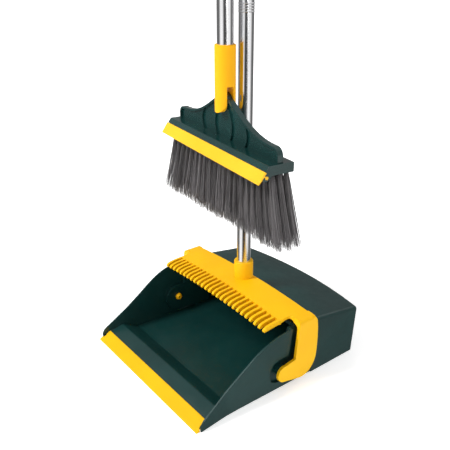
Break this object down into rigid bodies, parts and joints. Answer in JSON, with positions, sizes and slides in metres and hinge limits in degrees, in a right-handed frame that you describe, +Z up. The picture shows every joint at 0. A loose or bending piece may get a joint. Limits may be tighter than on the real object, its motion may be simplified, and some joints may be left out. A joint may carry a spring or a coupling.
{
  "type": "dust pan and brush set",
  "caption": "Long-handled dustpan with a folding yellow comb bail, covered bin and soft lip, and a clip-on swivel-head brush with a squeegee.",
  "frame": {"origin": "on the floor, under the axis of the dustpan's pole", "axes": "+Z up, +Y from the lip back to the bin, +X to the right of someone who faces the mouth from the front"},
  "size_m": [0.3477, 0.333, 1.219],
  "materials": {
    "green_plastic": "satin",
    "grip_plastic": "matte",
    "yellow_plastic": "satin",
    "lip_rubber": "satin",
    "squeegee_rubber": "satin",
    "steel_tube": "polished",
    "screw_steel": "satin",
    "plug_plastic": "matte",
    "bristle": "matte"
  },
  "bodies": {
    "pan": {"pan_body": "green_plastic", "lip_blade": "lip_rubber"},
    "handle": {"comb_bail": "yellow_plastic", "pan_pole_plug": "plug_plastic", "pan_tube_lower": "steel_tube", "pan_tube_upper": "steel_tube", "pan_grip": "grip_plastic", "pan_hang_cap": "yellow_plastic"},
    "clip": {"pole_clip": "yellow_plastic"},
    "stick": {"stick_plug": "plug_plastic", "stick_tube_lower": "steel_tube", "stick_tube_upper": "steel_tube", "stick_grip": "grip_plastic", "stick_hang_cap": "yellow_plastic", "swivel_clevis": "yellow_plastic", "swivel_screw": "screw_steel"},
    "head": {"brush_head": "green_plastic", "tuft_anchors": "screw_steel", "bristles_front": "bristle", "bristles_middle": "bristle", "bristles_rear": "bristle", "squeegee_strip": "squeegee_rubber"}
  },
  "joints": [
    {"name": "handle_fold", "type": "hinge", "parent": "pan", "child": "handle", "pos_m": [0, -0.043, 0.034], "axis": [1, 0, 0], "range_deg": [0, 75]},
    {"name": "clip_turn", "type": "hinge", "parent": "handle", "child": "clip", "pos_m": [0, 0, 0.705], "axis": [0, 0, 1], "continuous": true},
    {"name": "brush_lift", "type": "slide", "parent": "clip", "child": "stick", "axis": [0, 0, 1], "range_m": [-0.03, 0.19]},
    {"name": "head_swivel", "type": "hinge", "parent": "stick", "child": "head", "pos_m": [-0.00437, -0.03321, 0.407], "axis": [0.1305, 0.9914, 0], "range_deg": [-50, 50]}
  ]
}
